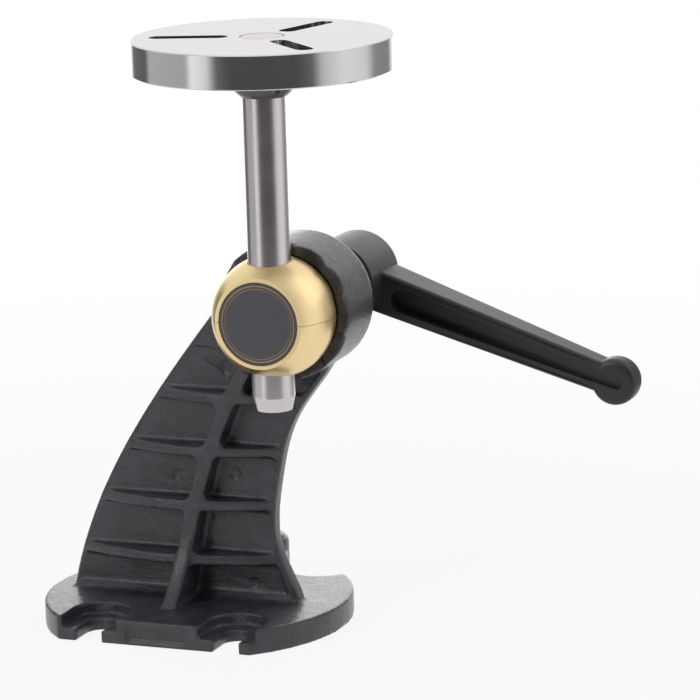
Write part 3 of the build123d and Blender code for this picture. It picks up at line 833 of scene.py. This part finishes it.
plate_radius = reach.max()
corner = reach > plate_radius - EDGE_BREAK - HAIR / 2
flat_side = corner & (reach < plate_radius - HAIR)
new_reach[flat_side] = plate_radius - EDGE_KEPT
tall_side = corner & ~flat_side
toward = np.sign(height - (points[:, 2].max() - PLATE_UNDER) / 2)
points[tall_side, 2] += (toward * (EDGE_BREAK - EDGE_KEPT))[tall_side]
points[:, :2] = out * (new_reach / np.maximum(reach, MM))[:, None] + plate_xy
put_back(plate.data, points)
print("edges:", int(corner.sum()), "points moved, plate radius", round(plate_radius / MM, 2), "mm")

# %% Finish of the plate and boss
# the boss's faces get the darker steel: painted shade under the plate
dress(plate.data, turned_steel, rough_boss_steel_painted_shade)
centres = np.empty(len(plate.data.polygons) * 3)
plate.data.polygons.foreach_get("center", centres)
below = centres.reshape(-1, 3)[:, 2] < PLATE_UNDER - HAIR
plate.data.polygons.foreach_set("material_index", below.astype(np.int32))
sharpen(plate.data)
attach(plate, "plate")
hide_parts("faceplate")
print("rough faces:", int(below.sum()), "of", len(below))

# %% [markdown]
# ## The ball's seam
# The ball is satin brass, turned and then rubbed: it glows rather than
# mirrors. Its two halves close on the post, and the seam between them is
# as fine as a scratch. The halves are copied, and only the points that lie
# on the two facing planes are moved, until a hair's width is left.

# %% Brass ball
SEAM_HALF = 0.09 * MM
PARTING_REACH = 0.3 * MM

brass = turned("satin brass", badge_centre, BACK, "#f3daa6", 0.34, 0.01 * MM)
for name, side in (("ball_upper_half", 1), ("ball_lower_half", -1)):
    half = merged_copy(name)
    points = rows_of(half.data, "co")
    on_seam = np.abs(points[:, 2] - hub_axis.z) < PARTING_REACH
    points[on_seam, 2] = hub_axis.z + side * SEAM_HALF
    put_back(half.data, points)
    dress(half.data, brass)
    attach(half, "ball")
    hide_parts(name)
    print(name, int(on_seam.sum()), "points moved")

# %% [markdown]
# ## Badge
# The round badge is dark enamel sunk flush in the ball's flat face, and the
# eye reads it as a deep, even grey. Near its rim are two fine gilt rings.
# They are thin domed strips of their own, so that they catch the light as
# a printed border does, which a line drawn in the enamel's colour wouldn't.

# %% Badge enamel
SPECKLE = 0.8 * MM  # enamel is nearly even; this only keeps it from looking painted on

material, tree, output = new_material("dark enamel")
place = add(tree, "TexCoord").outputs["Object"]
speckle = add(tree, "TexNoise", {"Vector": place, "Scale": 1 / SPECKLE, "Detail": 2.0})
tone = add(tree, "ValToRGB", {"Fac": speckle.outputs["Fac"]})
for stop, code in zip(tone.color_ramp.elements, ("#3f3e44", "#4c4b52")):
    stop.color = linear(code)
shader = add(tree, "BsdfPrincipled", {"Base Color": tone.outputs["Color"], "Roughness": 0.42})
tree.links.new(shader.outputs[0], output.inputs["Surface"])
dress(nodes["badge_disc"].data, material)
print("enamel speckle", SPECKLE / MM, "mm")

# %% Gilt rings
RINGS = [(16.9, 0.45), (15.6, 0.2)]  # radius and width in millimetres
RING_RISE = 0.05 * MM
RING_AROUND = 160
RING_ACROSS = 4


def gilt_ring(radius, width):
    """A flat ring: (radius + width v, RING_RISE sin(pi v)) turned about the badge's axis."""
    u = np.linspace(0, 2 * np.pi, RING_AROUND, endpoint=False)
    v = np.linspace(0, 1, RING_ACROSS + 1)
    u, v = np.meshgrid(u, v)
    reach = radius + width * (v - 0.5)
    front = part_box("badge_disc")[0][1] - RING_RISE * np.sin(np.pi * v)
    x, z = badge_centre.x + reach * np.sin(u), badge_centre.z - reach * np.cos(u)
    return np.stack([x, front, z], axis=-1).reshape(-1, 3)


points = np.concatenate([gilt_ring(radius * MM, width * MM) for radius, width in RINGS])
one_ring = closed_grid(RING_ACROSS, RING_AROUND)[:, [0, 3, 2, 1]]  # faces look to the front
faces = np.concatenate([one_ring + k * len(points) // len(RINGS) for k in range(len(RINGS))])
rings_mesh = bpy.data.meshes.new("badge_rings")
rings_mesh.from_pydata(points.tolist(), [], faces.tolist())
rings = new_object("badge_rings", rings_mesh)
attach(rings, "ball")

# Dull gilt: printed metal powder, so it is yellow but hardly mirrors
material, tree, output = new_material("dull gilt")
surface = {"Base Color": linear("#9c7f4f"), "Metallic": 0.6, "Roughness": 0.5}
shader = add(tree, "BsdfPrincipled", surface)
tree.links.new(shader.outputs[0], output.inputs["Surface"])
dress(rings_mesh, material)
print("rings:", len(faces), "faces")
